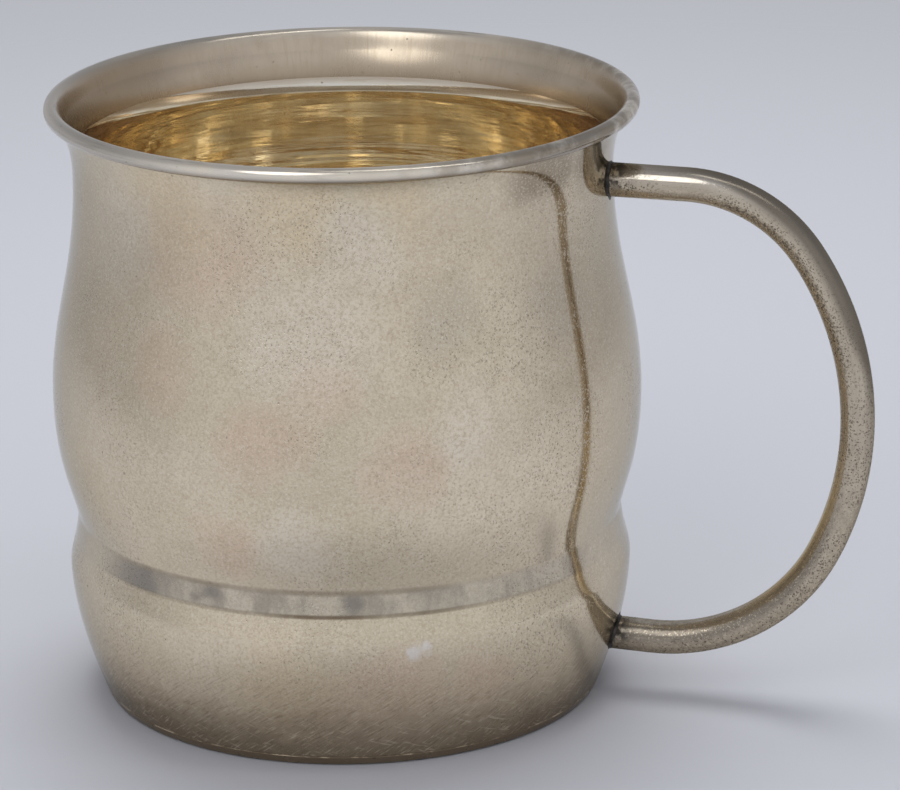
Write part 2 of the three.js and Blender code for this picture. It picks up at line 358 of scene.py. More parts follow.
# Solder seam: a thin ring with a slightly hollow outside
seam_outside = cropped(outline, PLATE_THICKNESS, seam_top)
seam_inside = cropped(inner_outline, PLATE_THICKNESS, seam_top)
seam_middle = point_at(outline, (PLATE_THICKNESS + seam_top) / 2) - Vector((SEAM_HOLLOW, 0))
seam_points = [seam_outside[0], seam_middle, seam_outside[-1]] + seam_inside[::-1]
base_seam = make_piece("cup_base_seam", *turned(seam_points, closed=True), "base_solder_seam", "solder")

# Gilt lining: a thin skin that thins out towards its upper edge, with a round in the corner of the floor
gilt_back = cropped(inner_outline, PLATE_THICKNESS, gilt_top)
gilt_face = []
for point, full in zip(gilt_back, offset(gilt_back, -GILT_THICKNESS)):
    left = min(max((gilt_top - point.y) / GILT_EDGE_LENGTH, 0), 1)
    share = (GILT_EDGE_THICKNESS + (GILT_THICKNESS - GILT_EDGE_THICKNESS) * left) / GILT_THICKNESS
    gilt_face.append(point.lerp(full, share))
gilt_floor_height = PLATE_THICKNESS + GILT_THICKNESS
gilt_corner = point_at(gilt_face, gilt_floor_height)
gilt_wall = [p for p in gilt_face if p.y > gilt_floor_height + FLOOR_CORNER_ROUND]
corner_start = Vector((gilt_corner.x - FLOOR_CORNER_ROUND, gilt_floor_height))
corner_curve = quadratic(corner_start, gilt_corner, gilt_wall[0], FLOOR_CORNER_STEPS)
gilt_floor = [Vector((corner_start.x * share, gilt_floor_height)) for share in GILT_FLOOR_RINGS]
gilt_points = [Vector((0, PLATE_THICKNESS))] + gilt_back
gilt_points += gilt_wall[:0:-1] + corner_curve[::-1] + gilt_floor[::-1]
gilt_lining = make_piece("cup_gilt_lining", *turned(gilt_points, closed=False), "gilt_lining", "gilt")

# Handle centreline: a lead, three bends that run into each other, and a lead back to the wall
upper_joint = point_at(outline, cup_height - UPPER_JOINT_BELOW_RIM)
lower_joint = point_at(outline, LOWER_JOINT_HEIGHT)
start_heading = -math.radians(UPPER_LEAD_DROOP_DEG)
upper_heading = -math.radians(UPPER_LEAD_DROOP_DEG + UPPER_BEND_DEG)
lower_heading = -math.radians(180 + LOWER_LEAD_CLIMB_DEG - LOWER_BEND_DEG)
end_heading = -math.radians(180 + LOWER_LEAD_CLIMB_DEG)
DOWNWARD = -math.pi / 2


def bend_across(before, after):
    return math.sin(before) - math.sin(after)


def bend_up(before, after):
    return math.cos(after) - math.cos(before)


def solve_handle():
    """The two leads and the middle bend's radius, from the reach and the two joints."""
    far_side = handle_reach - wire_radius
    equations = Matrix((
        (math.cos(start_heading), bend_across(upper_heading, DOWNWARD), 0),
        (0, bend_across(DOWNWARD, lower_heading), math.cos(end_heading)),
        (math.sin(start_heading), bend_up(upper_heading, lower_heading), math.sin(end_heading)),
    ))
    upper_bend_rise = UPPER_BEND_RADIUS * bend_up(start_heading, upper_heading)
    lower_bend_rise = LOWER_BEND_RADIUS * bend_up(lower_heading, end_heading)
    totals = Vector((
        far_side - upper_joint.x - UPPER_BEND_RADIUS * bend_across(start_heading, upper_heading),
        lower_joint.x - far_side - LOWER_BEND_RADIUS * bend_across(lower_heading, end_heading),
        lower_joint.y - upper_joint.y - upper_bend_rise - lower_bend_rise,
    ))
    return equations.inverted() @ totals


def handle_stations():
    """Places and headings along the wire, from wall to wall."""
    upper_lead, middle_radius, lower_lead = solve_handle()
    runs = (
        (upper_lead, 0),
        (UPPER_BEND_RADIUS * (start_heading - upper_heading), upper_heading - start_heading),
        (middle_radius * (upper_heading - lower_heading), lower_heading - upper_heading),
        (LOWER_BEND_RADIUS * (lower_heading - end_heading), end_heading - lower_heading),
        (lower_lead, 0),
    )
    heading = start_heading
    place = Vector((upper_joint.x, 0, upper_joint.y))
    stations = [(place.copy(), heading)]
    for length, turn in runs:
        steps = math.ceil(length / WIRE_STEP)
        half_turn = turn / steps / 2
        chord = (length / steps) * (math.sin(half_turn) / half_turn if half_turn else 1)
        for _ in range(steps):
            heading += half_turn
            place += Vector((math.cos(heading), 0, math.sin(heading))) * chord
            heading += half_turn
            stations.append((place.copy(), heading))
    return stations


def wire_side(heading, angle):
    """Direction from the wire's middle to one of its sides."""
    in_plane = Vector((-math.sin(heading), 0, math.cos(heading)))
    return in_plane * math.cos(angle) + Vector((0, -1, 0)) * math.sin(angle)


def onto_wall(point, direction, gap):
    """Slides a point along a direction until it stands off the wall by a gap."""
    near = -WALL_SEARCH_REACH
    far = WALL_SEARCH_REACH
    for _ in range(WALL_SEARCH_HALVINGS):
        middle = (near + far) / 2
        place = point + direction * middle
        if math.hypot(place.x, place.y) < wall_radius(place.z) + gap:
            near = middle
        else:
            far = middle
    return point + direction * far


stations = handle_stations()
upper_out = Vector((math.cos(start_heading), 0, math.sin(start_heading)))
lower_out = Vector((-math.cos(end_heading), 0, -math.sin(end_heading)))


def wire_ring(station):
    place, heading = station
    sides = [wire_side(heading, 2 * math.pi * side / WIRE_SIDES) for side in range(WIRE_SIDES)]
    return [place + side * wire_radius for side in sides]


def coped_ring(station, outwards):
    return [onto_wall(point, outwards, COPE_GAP) for point in wire_ring(station)]


# The rings nearest to each wall are left out, so that the coped end rings don't pass them
handle_rings = [coped_ring(stations[0], upper_out)]
for station in stations:
    from_upper = (station[0] - stations[0][0]).length
    from_lower = (station[0] - stations[-1][0]).length
    if min(from_upper, from_lower) > END_CLEARANCE:
        handle_rings.append(wire_ring(station))
handle_rings.append(coped_ring(stations[-1], lower_out))

handle_vertices = [point for ring in handle_rings for point in ring]
handle_faces = []
for ring in range(len(handle_rings) - 1):
    for side in range(WIRE_SIDES):
        after = (side + 1) % WIRE_SIDES
        low = ring * WIRE_SIDES
        high = low + WIRE_SIDES
        handle_faces.append((low + side, low + after, high + after, high + side))
handle_faces.append(tuple(range(WIRE_SIDES))[::-1])
last_ring = (len(handle_rings) - 1) * WIRE_SIDES
handle_faces.append(tuple(range(last_ring, last_ring + WIRE_SIDES)))
handle = make_piece("cup_handle", handle_vertices, handle_faces, "handle", "handle_silver")


# Solder beads: an uneven hollow fillet between the wire and the wall
def solder_bead(station, outwards, seed, points_down):
    place, heading = station
    sections = []
    for side in range(WIRE_SIDES):
        angle = 2 * math.pi * side / WIRE_SIDES
        away = wire_side(heading, angle)
        root = onto_wall(place + away * wire_radius, outwards, 0)
        lump_place = Vector((BEAD_LUMPS * math.cos(angle), BEAD_LUMPS * math.sin(angle), seed))
        lump = 1 + BEAD_UNEVENNESS * noise.noise(lump_place)
        pointed = max(-away.z if points_down else away.z, 0)
        spread = BEAD_SPREAD * lump * (1 + BEAD_POINT * pointed**BEAD_POINT_SHARPNESS)
        climb = BEAD_CLIMB * lump
        on_wall = onto_wall(place + away * (wire_radius + spread), outwards, BEAD_LIFT)
        on_wire = root + outwards * climb + away * BEAD_LIFT
        hollow = root + (on_wall - root) * BEAD_HOLLOW + (on_wire - root) * BEAD_HOLLOW
        buried = root - outwards * BEAD_ROOT_DEPTH - away * BEAD_ROOT_DEPTH
        sections.append([buried] + quadratic(on_wall, hollow, on_wire, BEAD_STEPS))
    count = len(sections[0])
    vertices = [point for section in sections for point in section]
    faces = []
    for side in range(WIRE_SIDES):
        after = (side + 1) % WIRE_SIDES
        for step in range(count):
            following = (step + 1) % count
            faces.append((
                side * count + step,
                side * count + following,
                after * count + following,
                after * count + step,
            ))
    return vertices, faces


upper_bead_mesh = solder_bead(stations[0], upper_out, UPPER_BEAD_SEED, points_down=True)
upper_bead = make_piece("cup_upper_solder", *upper_bead_mesh, "upper_solder_fillet", "solder")
lower_bead_mesh = solder_bead(stations[-1], lower_out, LOWER_BEAD_SEED, points_down=False)
lower_bead = make_piece("cup_lower_solder", *lower_bead_mesh, "lower_solder_fillet", "solder")


# Materials
class Shader:
    """A material's node tree, with short calls for the nodes that are used here."""

    def __init__(self, name):
        self.material = bpy.data.materials.new(name)
        self.material.use_nodes = True
        self.nodes = self.material.node_tree.nodes
        self.links = self.material.node_tree.links
        self.surface = self.nodes["Principled BSDF"]
        place = self.nodes.new("ShaderNodeTexCoord")
        self.millimetres = self.vector("SCALE", place.outputs["Object"], scale=1 / MM)
        parts = self.nodes.new("ShaderNodeSeparateXYZ")
        self.links.new(self.millimetres, parts.inputs[0])
        self.x, self.y, self.z = parts.outputs

    def put(self, value, socket):
        if isinstance(value, bpy.types.NodeSocket):
            self.links.new(value, socket)
        else:
            socket.default_value = value

    def vector(self, operation, first, second=None, scale=None, output="Vector"):
        node = self.nodes.new("ShaderNodeVectorMath")
        node.operation = operation
        self.put(first, node.inputs[0])
        if second is not None:
            self.put(second, node.inputs[1])
        if scale is not None:
            self.put(scale, node.inputs["Scale"])
        return node.outputs[output]

    def facing(self):
        """The surface's direction: its x, y and z shares."""
        geometry = self.nodes.new("ShaderNodeNewGeometry")
        parts = self.nodes.new("ShaderNodeSeparateXYZ")
        self.links.new(geometry.outputs["Normal"], parts.inputs[0])
        return parts.outputs

    def warped(self, scale, amount):
        """The place in millimetres, pushed about by noise, so that patches get ragged outlines."""
        node = self.nodes.new("ShaderNodeTexNoise")
        self.put(self.millimetres, node.inputs["Vector"])
        node.inputs["Scale"].default_value = scale
        node.inputs["Detail"].default_value = 4.0
        push = self.vector("SUBTRACT", node.outputs["Color"], (0.5, 0.5, 0.5))
        return self.vector("ADD", self.millimetres, self.vector("SCALE", push, scale=amount))

    def math(self, operation, first, second=0.0):
        node = self.nodes.new("ShaderNodeMath")
        node.operation = operation
        self.put(first, node.inputs[0])
        self.put(second, node.inputs[1])
        return node.outputs[0]

    def combine(self, x, y, z):
        node = self.nodes.new("ShaderNodeCombineXYZ")
        for value, socket in zip((x, y, z), node.inputs):
            self.put(value, socket)
        return node.outputs[0]

    def noise(self, scale, detail, roughness, place=None):
        node = self.nodes.new("ShaderNodeTexNoise")
        self.put(self.millimetres if place is None else place, node.inputs["Vector"])
        node.inputs["Scale"].default_value = scale
        node.inputs["Detail"].default_value = detail
        node.inputs["Roughness"].default_value = roughness
        return node.outputs["Fac"]

    def cells(self, place, scale):
        node = self.nodes.new("ShaderNodeTexVoronoi")
        self.put(place, node.inputs["Vector"])
        node.inputs["Scale"].default_value = scale
        return node.outputs["Distance"], node.outputs["Color"]

    def ramp(self, value, low, high, out_low=0.0, out_high=1.0):
        node = self.nodes.new("ShaderNodeMapRange")
        node.interpolation_type = "SMOOTHSTEP"
        self.put(value, node.inputs["Value"])
        node.inputs["From Min"].default_value = low
        node.inputs["From Max"].default_value = high
        node.inputs["To Min"].default_value = out_low
        node.inputs["To Max"].default_value = out_high
        return node.outputs["Result"]

    def mix(self, share, first, second):
        node = self.nodes.new("ShaderNodeMix")
        node.data_type = "RGBA"
        self.put(share, node.inputs["Factor"])
        self.put(first, node.inputs["A"])
        self.put(second, node.inputs["B"])
        return node.outputs["Result"]

    def tinted(self, colour, tint, mask, share):
        """The colour turned towards a tint by a share, where the mask is 1."""
        return self.mix(self.times(mask, share), colour, tint)

    def blend(self, share, first, second):
        """Like mix, for plain numbers."""
        change = self.math("SUBTRACT", second, first)
        return self.plus(first, self.times(share, change))

    def from_axis(self):
        """Distance from the cup's axis, in millimetres."""
        return self.math("SQRT", self.plus(self.times(self.x, self.x), self.times(self.y, self.y)))

    def times(self, first, second):
        return self.math("MULTIPLY", first, second)

    def plus(self, first, second):
        return self.math("ADD", first, second)

    def total(self, base, *shares):
        """A base value plus each of the other values times its factor."""
        for value, factor in shares:
            base = self.plus(base, self.times(value, factor))
        return base

    def most(self, first, second):
        return self.math("MAXIMUM", first, second)

    def relief(self, height):
        """A bump from a height in millimetres."""
        node = self.nodes.new("ShaderNodeBump")
        node.inputs["Distance"].default_value = 1.0
        self.put(self.times(height, MM), node.inputs["Height"])
        return node.outputs["Normal"]

    def finish(self, colour, roughness, normal=None, metallic=1.0, edge=None):
        self.put(colour, self.surface.inputs["Base Color"])
        if edge is not None:
            self.put(edge, self.surface.inputs["Specular Tint"])
        self.put(roughness, self.surface.inputs["Roughness"])
        self.put(metallic, self.surface.inputs["Metallic"])
        if normal is not None:
            self.put(normal, self.surface.inputs["Normal"])
        return self.material


def pits(shader, place, scale, size, kept):
    """Small pits: 1 in a pit and 0 elsewhere. Only a share of the cells has one."""
    distance, colour = shader.cells(place, scale)
    parts = shader.nodes.new("ShaderNodeSeparateColor")
    shader.links.new(colour, parts.inputs[0])
    chosen = shader.ramp(parts.outputs[0], 1 - kept, 1 - kept + 0.05)
    return shader.times(shader.ramp(distance, size, size * 0.5), chosen)


def patches(shader, place, spots):
    """Soft patches around places on the surface, each with its radius: 1 in the middle and 0 outside."""
    level = 0.0
    for centre, radius in spots:
        distance = shader.vector("DISTANCE", place, centre, output="Value")
        level = shader.most(shader.ramp(distance, radius, radius * 0.3), level)
    return level


def unrolled(shader, radius):
    """Distance around a turned piece, in millimetres."""
    angle = shader.math("ARCTAN2", shader.y, shader.x)
    return shader.times(angle, radius)


# Colours
SILVER = (0.82, 0.70, 0.51, 1)
SILVER_PALE = (0.92, 0.80, 0.605, 1)
SILVER_BRIGHT = (0.97, 0.875, 0.715, 1)
SILVER_CLEAN = (0.86, 0.80, 0.70, 1)
HIGHLIGHT_WHITE = (1.0, 0.985, 0.96, 1)
SILVER_WARM = (0.86, 0.67, 0.50, 1)
SILVER_YELLOW = (0.88, 0.715, 0.45, 1)
SILVER_OLIVE = (0.79, 0.70, 0.51, 1)
SILVER_TARNISHED = (0.60, 0.485, 0.34, 1)
SILVER_GREY = (0.45, 0.42, 0.37, 1)
SILVER_SIDE_SHADE = (0.56, 0.48, 0.37, 1)
SILVER_LIP = (0.70, 0.595, 0.45, 1)
SILVER_INSIDE = (0.585, 0.49, 0.375, 1)
LIP_BROWN = (0.42, 0.30, 0.185, 1)
BAND_DARK = (0.24, 0.22, 0.195, 1)
# Brown tarnish, also used as painted shade in the waist band's creases
TARNISH_AND_SHADE_BROWN = (0.23, 0.175, 0.115, 1)
PIT_DARK = (0.12, 0.10, 0.08, 1)
WIRE_GREY = (0.68, 0.60, 0.475, 1)
WIRE_DULL = (0.47, 0.40, 0.31, 1)
# Dark tarnish, also used on the handle as painted shade
WIRE_TARNISH_AND_SHADE = (0.23, 0.197, 0.155, 1)
GILT = (0.96, 0.912, 0.79, 1)
GILT_DEEP = (0.91, 0.825, 0.67, 1)
GILT_FLOOR = (0.92, 0.78, 0.50, 1)
GILT_BRIGHT = (0.99, 0.955, 0.86, 1)
GILT_DULL = (0.66, 0.555, 0.40, 1)
GILT_WASH = (0.50, 0.395, 0.28, 1)
SOLDER_DARK = (0.020, 0.018, 0.016, 1)
SOLDER_GREY = (0.10, 0.09, 0.08, 1)
EDGE_TINT = (0.80, 0.80, 0.78, 1)
WIRE_EDGE_TINT = (0.58, 0.56, 0.51, 1)

# Places on the body's front in millimetres, each with a radius: tinted patches, and where pits gather
# Rubbed patches, some of them painted light for a brighter reflection
RUBBED_AND_PAINTED_LIGHT_SPOTS = (
    ((3, -31, 50), 11), ((9, -29, 59), 7), ((20, -26, 40), 7), ((-20, -23, 58), 8), ((2, -31.5, 26.5), 7),
)
# A painted highlight: a small white glint on the bowl
PAINTED_HIGHLIGHT_SPOTS = (((13.3, -28.7, 14.1), 1.2), ((14.5, -28.1, 14.4), 1.1))
GREY_SPOTS = (((17, -26, 51), 6), ((27, -15, 50), 7))
YELLOW_SPOTS = (
    ((2, -30, 64), 9), ((-13, -27, 64), 9), ((12, -28, 64), 7), ((-26, -19, 30), 9), ((0, -31, 9), 9),
)
WARM_SPOTS = (
    ((-10, -28, 58), 11), ((10, -29, 8), 9), ((-19, -22, 4), 8), ((-2, -33, 38), 7), ((-15, -29, 45), 6),
    ((4, -32, 44), 5), ((13, -29, 36), 6), ((-6, -31, 26), 5), ((19, -24, 10), 6),
)
UNDER_RIM_SPOTS = (((27, -17, 65), 7), ((30, -9, 65), 8))
PIT_SPOTS = (
    ((-3, -30, 60), 7), ((5, -29, 60), 8), ((3, -31, 49), 9), ((16, -26, 48), 7), ((24, -21, 48), 10),
    ((28, -18, 35), 11), ((25, -19, 14), 11),
)
BAND_SPOTS = (((7.3, -30, 19.7), 2.6), ((-9.5, -29.5, 19.5), 2.4), ((-19, -24, 19.3), 7))


def body_silver():
    s = Shader("polished_silver")
    place = s.warped(0.10, 9.0)
    cloud = s.ramp(s.noise(0.055, 5, 0.55), 0.38, 0.66)
    olive = s.ramp(s.noise(0.045, 3, 0.5, place), 0.46, 0.62)
    mottle = s.ramp(s.noise(0.42, 4, 0.6), 0.35, 0.7)
    grain = s.noise(2.9, 4, 0.7)
    colour = s.mix(s.times(cloud, 0.75), SILVER_PALE, SILVER)
    colour = s.tinted(colour, SILVER_OLIVE, olive, 0.6)
    colour = s.tinted(colour, SILVER_WARM, patches(s, place, WARM_SPOTS), 0.8)
    colour = s.tinted(colour, SILVER_YELLOW, patches(s, place, YELLOW_SPOTS), 0.6)
    # Rubbed wear, and painted light where the reflection is brighter
    colour = s.tinted(colour, SILVER_BRIGHT, patches(s, place, RUBBED_AND_PAINTED_LIGHT_SPOTS), 0.6)
    colour = s.tinted(colour, SILVER_GREY, patches(s, place, GREY_SPOTS), 0.28)
    colour = s.tinted(colour, SILVER_TARNISHED, mottle, 0.2)
    colour = s.mix(s.ramp(grain, 0.40, 0.70, 0.0, 0.7), colour, SILVER_TARNISHED)
    # Painted shade: the sides and back are darker, as they reflect darker surroundings
    frontward = s.vector("DOT_PRODUCT", s.millimetres, FRONT, output="Value")
    side_shade = s.ramp(frontward, 31.0, 4.0)
    colour = s.tinted(colour, SILVER_SIDE_SHADE, side_shade, 0.74)
    # A brown stain under the rim by the handle
    under_rim = s.times(patches(s, place, UNDER_RIM_SPOTS), s.ramp(s.z, 58.5, 63.5))
    colour = s.tinted(colour, TARNISH_AND_SHADE_BROWN, under_rim, 0.65)
    # Pits gather in patches
    gathered = s.ramp(s.noise(0.075, 3, 0.5), 0.50, 0.66, 0.10, 0.8)
    gathered = s.most(gathered, patches(s, place, PIT_SPOTS))
    ragged_place = s.warped(2.2, 0.5)
    larger_pits = pits(s, ragged_place, 2.0, 0.30, 0.6)
    smaller_pits = pits(s, ragged_place, 3.4, 0.36, 0.75)
    fine_pits = s.most(larger_pits, smaller_pits)
    coarse_pits = pits(s, s.millimetres, 0.7, 0.12, 0.25)
    all_pits = s.most(s.times(fine_pits, gathered), coarse_pits)
    colour = s.tinted(colour, PIT_DARK, all_pits, 0.4)
    # Bright flecks, and a painted highlight: a small white glint on the bowl
    flecks = s.ramp(s.noise(4.4, 2, 0.6), 0.53, 0.70)
    colour = s.tinted(colour, SILVER_BRIGHT, flecks, 0.6)
    painted_highlight = patches(s, s.warped(0.9, 1.6), PAINTED_HIGHLIGHT_SPOTS)
    colour = s.tinted(colour, HIGHLIGHT_WHITE, painted_highlight, 0.55)
    # Tarnish above the foot
    ragged = s.times(s.noise(0.35, 4, 0.65), 6.0)
    foot_haze = s.ramp(s.plus(s.z, ragged), 18.0, 5.0)
    colour = s.tinted(colour, SILVER_TARNISHED, foot_haze, 0.75)
    foot_tarnish = s.ramp(s.plus(s.z, ragged), 12.0, 3.0)
    colour = s.tinted(colour, TARNISH_AND_SHADE_BROWN, foot_tarnish, 0.75)
    # The waist band is greyer, with smudges, and its two creases carry painted shade in places
    around = unrolled(s, BELLY_RADIUS)
    above = s.ramp(s.z, band_foot_height - 0.1, band_foot_height + 0.25)
    below = s.ramp(s.z, waist_height + 0.4, waist_height - 0.5)
    in_band = s.times(above, below)
    band_place = s.combine(around, s.times(s.z, 0.55), 0.0)
    smudge = s.ramp(s.noise(0.30, 4, 0.6, band_place), 0.40, 0.66)
    in_band = s.times(in_band, s.ramp(frontward, 12.0, 23.0, 0.2, 1.0))
    colour = s.tinted(colour, SILVER_GREY, in_band, 0.36)
    dark_band = s.most(s.times(smudge, 0.45), s.times(patches(s, place, BAND_SPOTS), 0.8))
    colour = s.mix(s.times(in_band, dark_band), colour, BAND_DARK)
    broken = s.ramp(s.noise(0.16, 3, 0.6), 0.3, 0.6, 0.5, 1.0)
    sideways = s.vector("DOT_PRODUCT", s.millimetres, FRONT_RIGHT, output="Value")
    from_waist = s.math("ABSOLUTE", s.math("SUBTRACT", s.z, waist_height))
    # Painted shade along the two creases
    upper_line = s.ramp(from_waist, 0.5, 0.06, 0.0, 0.6)
    upper_line = s.times(upper_line, s.ramp(sideways, 2.0, 18.0, 1.0, 0.35))
    from_band_foot = s.math("ABSOLUTE", s.math("SUBTRACT", s.z, band_foot_height))
    lower_line = s.ramp(from_band_foot, 0.34, 0.08, 0.0, 0.95)
    lower_line = s.times(lower_line, s.ramp(s.math("ABSOLUTE", sideways), 4.0, 18.0, 1.0, 0.35))
    crease_shade = s.times(s.most(upper_line, lower_line), broken)
    crease_shade = s.times(crease_shade, s.ramp(frontward, 13.0, 22.0, 0.12, 1.0))
    colour = s.mix(crease_shade, colour, TARNISH_AND_SHADE_BROWN)
    # Scratches that climb aslant, most of them near the foot, with dirt between, and some that cross
    across = s.math("SUBTRACT", s.times(s.z, 1.6), around)
    slant = s.combine(s.plus(s.times(around, 0.18), s.times(s.z, 0.12)), across, 0.0)
    scratches = s.noise(2.3, 3, 0.6, slant)
    low_down = s.ramp(s.z, 17.0, 4.0)
    scratch = s.times(s.ramp(scratches, 0.55, 0.68), s.plus(s.times(low_down, 0.85), 0.1))
    colour = s.tinted(colour, SILVER_PALE, scratch, 0.5)
    grime = s.times(s.ramp(scratches, 0.46, 0.34), low_down)
    colour = s.tinted(colour, TARNISH_AND_SHADE_BROWN, grime, 0.42)
    other_across = s.plus(s.times(s.z, 2.4), s.times(around, 0.8))
    other_slant = s.combine(s.plus(s.times(around, 0.2), s.times(s.z, -0.2)), other_across, 7.0)
    crossing = s.times(s.ramp(s.noise(1.5, 2, 0.55, other_slant), 0.60, 0.70), low_down)
    colour = s.tinted(colour, SILVER_PALE, crossing, 0.35)
    rough = s.total(0.045, (cloud, 0.04), (mottle, 0.03), (all_pits, 0.3), (foot_tarnish, 0.15))
    height = s.total(0.0, (grain, 0.002), (all_pits, -0.02), (scratch, -0.006))
    return s.finish(colour, rough, s.relief(height), edge=EDGE_TINT)


def lip_look(s):
    """Colour, roughness and height of the inside of the lip, which runs on over the rim's inner side."""
    cloud = s.ramp(s.noise(0.11, 4, 0.6), 0.35, 0.68)
    colour = s.mix(cloud, SILVER_LIP, SILVER_INSIDE)
    around = unrolled(s, BELLY_RADIUS)
    upright = s.combine(s.times(around, 1.6), s.times(s.z, 0.18), 0.0)
    brushed = s.noise(1.1, 3, 0.65, upright)
    colour = s.mix(s.ramp(brushed, 0.42, 0.70, 0.0, 0.5), colour, SILVER_TARNISHED)
    specks = pits(s, s.millimetres, 1.2, 0.14, 0.25)
    colour = s.tinted(colour, PIT_DARK, specks, 0.5)
    washed = s.ramp(s.z, gilt_top + 2.8, gilt_top + 0.4)
    at_sides = s.ramp(s.math("ABSOLUTE", s.x), 17.0, 30.0)
    washed = s.most(washed, at_sides)
    colour = s.tinted(colour, GILT_WASH, washed, 0.7)
    far_side = s.ramp(s.math("ABSOLUTE", s.x), 24.0, 31.5)
    colour = s.tinted(colour, LIP_BROWN, far_side, 0.5)
    rough = s.total(0.17, (cloud, 0.06), (brushed, 0.12))
    height = s.total(0.0, (brushed, 0.008), (specks, -0.02))
    return colour, rough, height


def lip_silver():
    s = Shader("brushed_lip_silver")
    colour, rough, height = lip_look(s)
    return s.finish(colour, rough, s.relief(height), edge=EDGE_TINT)


def rim_silver():
    s = Shader("rubbed_silver_wire")
    cloud = s.ramp(s.noise(0.09, 4, 0.55), 0.35, 0.68)
    dents = s.noise(0.55, 2, 0.5)
    colour = s.mix(cloud, SILVER_CLEAN, SILVER_BRIGHT)
    specks = pits(s, s.millimetres, 1.6, 0.18, 0.25)
    colour = s.tinted(colour, PIT_DARK, specks, 0.6)
    under = s.ramp(s.z, cup_height - 0.8, cup_height - 1.4)
    colour = s.tinted(colour, TARNISH_AND_SHADE_BROWN, under, 0.6)
    by_handle = s.times(s.ramp(s.x, 6.0, 28.0), s.ramp(s.noise(0.25, 4, 0.6), 0.3, 0.6))
    colour = s.tinted(colour, TARNISH_AND_SHADE_BROWN, by_handle, 0.75)
    # Painted shade: the wire turns greyer and darker towards its left
    colour = s.mix(s.ramp(s.x, -8.0, -24.0, 0.0, 0.6), colour, SILVER_GREY)
    around = unrolled(s, BELLY_RADIUS)
    along = s.combine(s.times(around, 0.11), s.times(s.z, 1.5), s.times(s.from_axis(), 1.5))
    streaks = s.ramp(s.noise(1.0, 3, 0.6, along), 0.51, 0.64)
    colour = s.tinted(colour, SILVER_GREY, streaks, 0.45)
    rough = s.total(0.15, (cloud, 0.1), (specks, 0.2))
    height = s.total(0.0, (dents, 0.01), (specks, -0.02))
    inward = s.ramp(s.from_axis(), rim_centre.x - 0.3, rim_centre.x - 1.2)
    lip_colour, lip_rough, lip_height = lip_look(s)
    colour = s.mix(inward, colour, lip_colour)
    rough = s.blend(inward, rough, lip_rough)
    height = s.blend(inward, height, lip_height)
    return s.finish(colour, rough, s.relief(height))


def base_silver():
    s = Shader("worn_base_silver")
    cloud = s.ramp(s.noise(0.14, 5, 0.6), 0.35, 0.65)
    colour = s.mix(cloud, SILVER, SILVER_TARNISHED)
    edge = s.ramp(s.from_axis(), foot_radius - 1.5, foot_radius + 0.1)
    colour = s.tinted(colour, TARNISH_AND_SHADE_BROWN, edge, 0.9)
    wear = s.combine(s.times(s.x, 0.05), s.times(s.y, 1.4), 0.0)
    scratch = s.ramp(s.noise(1.3, 3, 0.6, wear), 0.62, 0.72)
    specks = pits(s, s.millimetres, 0.9, 0.25, 0.5)
    colour = s.tinted(colour, PIT_DARK, specks, 0.6)
    rough = s.total(0.22, (cloud, 0.12), (scratch, 0.15))
    height = s.total(0.0, (scratch, -0.01), (specks, -0.03))
    return s.finish(colour, rough, s.relief(height))


def seam_silver():
    s = Shader("dull_solder_seam")
    patch = s.ramp(s.noise(0.45, 4, 0.65), 0.34, 0.52)
    colour = s.mix(patch, SILVER_TARNISHED, TARNISH_AND_SHADE_BROWN)
    lumps = s.noise(2.0, 3, 0.6)
    rough = s.total(0.25, (patch, 0.2))
    return s.finish(colour, rough, s.relief(s.times(lumps, 0.02)))


